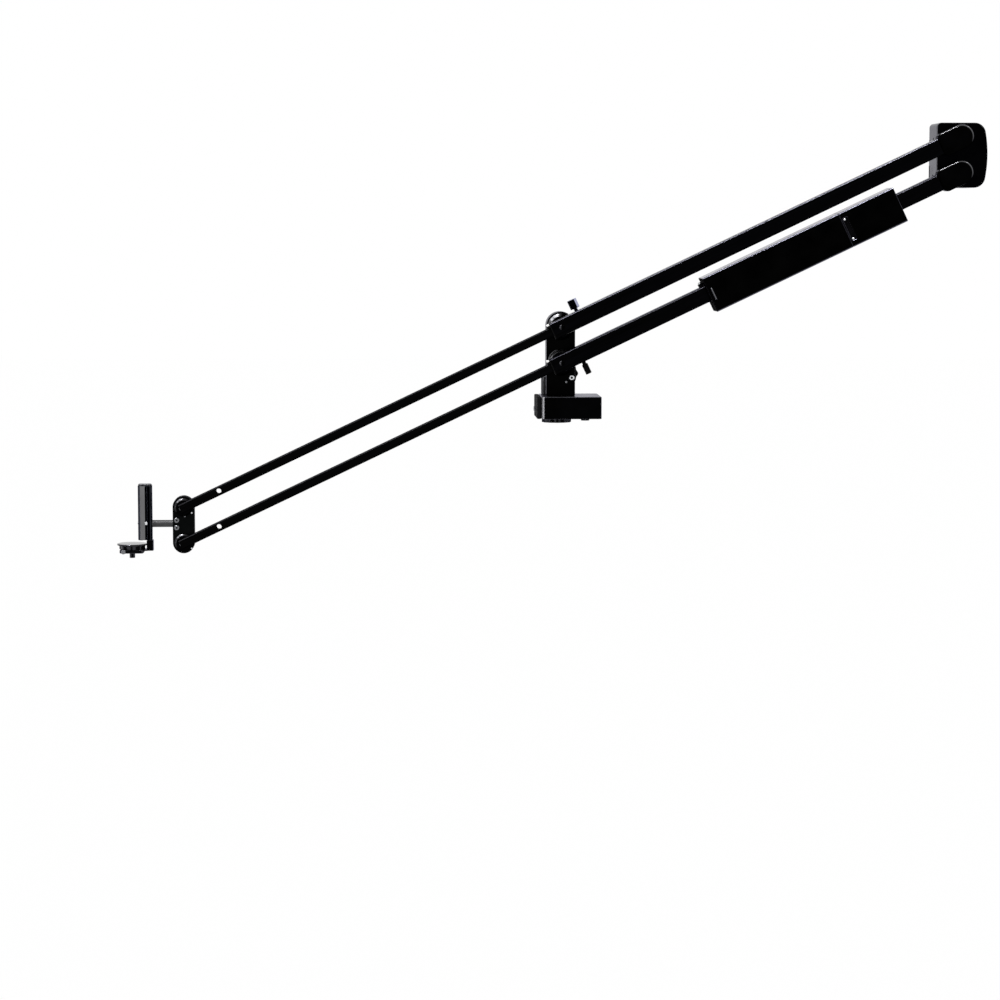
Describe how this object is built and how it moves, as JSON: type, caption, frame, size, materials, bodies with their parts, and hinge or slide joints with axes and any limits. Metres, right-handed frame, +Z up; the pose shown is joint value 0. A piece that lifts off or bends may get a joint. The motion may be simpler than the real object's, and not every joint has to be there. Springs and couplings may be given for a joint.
{
  "type": "camera jib crane",
  "caption": "Camera jib with parallel telescopic arms on a panning post, a level head at each end, and a sliding boxed counterweight.",
  "frame": {"origin": "middle of the flat underside of the tripod disc, on the pan axis", "axes": "+X runs along the arms, level, towards the counterweight end; +Y points away from the side of the post that the arms hang on; +Z is up, along the pan axis"},
  "size_m": [1.4648, 0.1191, 0.7288],
  "materials": {
    "outer_tube": "black anodised, satin",
    "inner_tube": "black anodised, satin",
    "hub": "turned, black anodised",
    "lug": "milled, black anodised",
    "post": "milled, black anodised",
    "base": "milled, black anodised, satin",
    "disc": "turned, black anodised",
    "front_plate": "milled, black anodised",
    "rear_plate": "milled, black anodised",
    "rear_housing": "black anodised, satin",
    "weight_case": "extruded, black anodised",
    "strip": "black anodised",
    "clamp": "black anodised",
    "column": "extruded, black anodised, satin",
    "bracket": "milled, black anodised",
    "seat": "milled, black anodised",
    "end_cap": "moulded, fine texture",
    "foot_block": "moulded, fine texture",
    "knob": "moulded, satin",
    "lock_block": "milled, black anodised",
    "wheel": "turned, black anodised, satin",
    "slider": "moulded acetal, satin",
    "cap": "turned, dark grey",
    "rod": "ground, dark",
    "steel": "turned and ground",
    "bronze": "sintered bronze",
    "ballast": "bright drawn, oiled",
    "grey_screw": "dark zinc",
    "black_screw": "black oxide",
    "bright_screw": "bright zinc"
  },
  "bodies": {
    "mount": {"tripod_disc": "disc", "pan_spindle": "steel", "spindle_nut": "steel"},
    "turret": {"base_housing": "base", "base_floor": "base", "floor_screw_near": "black_screw", "floor_screw_far": "black_screw", "base_end_cap": "end_cap", "pan_bearing_lower": "steel", "pan_bearing_upper": "steel", "post": "post", "post_foot_block": "foot_block", "lower_pivot_shaft": "steel", "upper_pivot_shaft": "steel", "tilt_clamp_bolt": "bright_screw"},
    "pan_lock": {"pan_lock_screw": "grey_screw"},
    "tilt_lock": {"tilt_lock_knob": "knob"},
    "lower_arm": {"lower_rear_tube": "outer_tube", "lower_hub": "hub", "lower_hub_bush": "bronze", "lower_pivot_cap": "cap", "lower_mouth_bush": "slider", "lower_knuckle": "lug"},
    "upper_arm": {"upper_rear_tube": "outer_tube", "upper_hub": "hub", "upper_hub_bush": "bronze", "upper_pivot_cap": "cap", "upper_mouth_bush": "slider", "upper_knuckle": "lug"},
    "lower_tube_lock": {"lower_lock_knob": "knob"},
    "upper_tube_lock": {"upper_lock_knob": "lock_block"},
    "lower_front": {"lower_front_tube": "inner_tube", "lower_tail_bush": "slider", "lower_front_hub": "hub"},
    "upper_front": {"upper_front_tube": "inner_tube", "upper_tail_bush": "slider", "upper_front_hub": "hub"},
    "counterweight": {"counterweight_case": "weight_case", "counterweight_end_case": "weight_case", "counterweight_joint_strip": "strip", "weight_bar_near": "ballast", "weight_bar_far": "ballast", "slide_clamp": "clamp"},
    "weight_lock": {"slide_clamp_screw": "bright_screw"},
    "front_head": {"front_plate": "front_plate", "lower_front_pin": "steel", "upper_front_pin": "steel", "rod_clamp_screw_lower": "grey_screw", "rod_clamp_screw_upper": "grey_screw"},
    "grip": {"head_rod": "rod", "grip_column": "column", "foot_bracket": "bracket", "camera_seat": "seat"},
    "tie_down": {"tie_down_knob": "wheel"},
    "seat_lock": {"seat_lock_screw": "grey_screw"},
    "rear_head": {"rear_plate": "rear_plate", "lower_rear_pin": "steel", "upper_rear_pin": "steel", "rear_housing": "rear_housing"}
  },
  "joints": [
    {"name": "pan", "type": "hinge", "parent": "mount", "child": "turret", "pos_m": [0, 0, 0], "axis": [0, 0, 1], "continuous": true},
    {"name": "pan_lock_turn", "type": "hinge", "parent": "turret", "child": "pan_lock", "pos_m": [-0.037, 0, 0.023], "axis": [-1, 0, 0], "range_deg": [0, 720]},
    {"name": "tilt_lock_turn", "type": "hinge", "parent": "turret", "child": "tilt_lock", "pos_m": [0.0204, 0.026, 0.081], "axis": [0, 1, 0], "range_deg": [0, 720]},
    {"name": "arm_tilt", "type": "hinge", "parent": "turret", "child": "lower_arm", "pos_m": [0.006, -0.0391, 0.1019], "axis": [0, -1, 0], "range_deg": [-55.4, 18.6]},
    {"name": "upper_arm_tilt", "type": "hinge", "parent": "turret", "child": "upper_arm", "pos_m": [0.006, -0.0391, 0.1619], "axis": [0, -1, 0], "range_deg": [-55.4, 18.6]},
    {"name": "rear_head_level", "type": "hinge", "parent": "lower_arm", "child": "rear_head", "pos_m": [0.67537, -0.0391, 0.41974], "axis": [0, -1, 0], "range_deg": [-18.6, 55.4]},
    {"name": "lower_extend", "type": "slide", "parent": "lower_arm", "child": "lower_front", "axis": [0.9033, 0, 0.4289], "range_m": [0, 0.57]},
    {"name": "upper_extend", "type": "slide", "parent": "upper_arm", "child": "upper_front", "axis": [0.9033, 0, 0.4289], "range_m": [0, 0.57]},
    {"name": "front_head_level", "type": "hinge", "parent": "lower_front", "child": "front_head", "pos_m": [-0.62904, -0.0391, -0.19964], "axis": [0, -1, 0], "range_deg": [-18.6, 55.4]},
    {"name": "weight_slide", "type": "slide", "parent": "lower_arm", "child": "counterweight", "axis": [0.9033, 0, 0.4289], "range_m": [-0.14, 0.045]},
    {"name": "weight_lock_turn", "type": "hinge", "parent": "counterweight", "child": "weight_lock", "pos_m": [0.23961, -0.0391, 0.23054], "axis": [-0.4289, 0, 0.9033], "range_deg": [0, 720]},
    {"name": "lower_lock_turn", "type": "hinge", "parent": "lower_arm", "child": "lower_tube_lock", "pos_m": [0.04701, -0.0391, 0.0948], "axis": [0.4289, 0, -0.9033], "range_deg": [0, 720]},
    {"name": "upper_lock_turn", "type": "hinge", "parent": "upper_arm", "child": "upper_tube_lock", "pos_m": [0.02642, -0.0391, 0.19816], "axis": [-0.4289, 0, 0.9033], "range_deg": [0, 720]},
    {"name": "rod_roll", "type": "hinge", "parent": "front_head", "child": "grip", "pos_m": [-0.65404, -0.014, -0.16824], "axis": [1, 0, 0], "range_deg": [-90, 90]},
    {"name": "tie_down_turn", "type": "hinge", "parent": "grip", "child": "tie_down", "pos_m": [-0.71605, -0.014, -0.20464], "axis": [0, 0, 1], "range_deg": [0, 1080]},
    {"name": "seat_lock_turn", "type": "hinge", "parent": "grip", "child": "seat_lock", "pos_m": [-0.72925, -0.035, -0.21394], "axis": [0, -1, 0], "range_deg": [0, 720]}
  ],
  "couplings": [
    {"joint": "upper_arm_tilt", "follows": "arm_tilt", "ratio": 1},
    {"joint": "rear_head_level", "follows": "arm_tilt", "ratio": -1},
    {"joint": "front_head_level", "follows": "arm_tilt", "ratio": -1},
    {"joint": "upper_extend", "follows": "lower_extend", "ratio": 1}
  ]
}
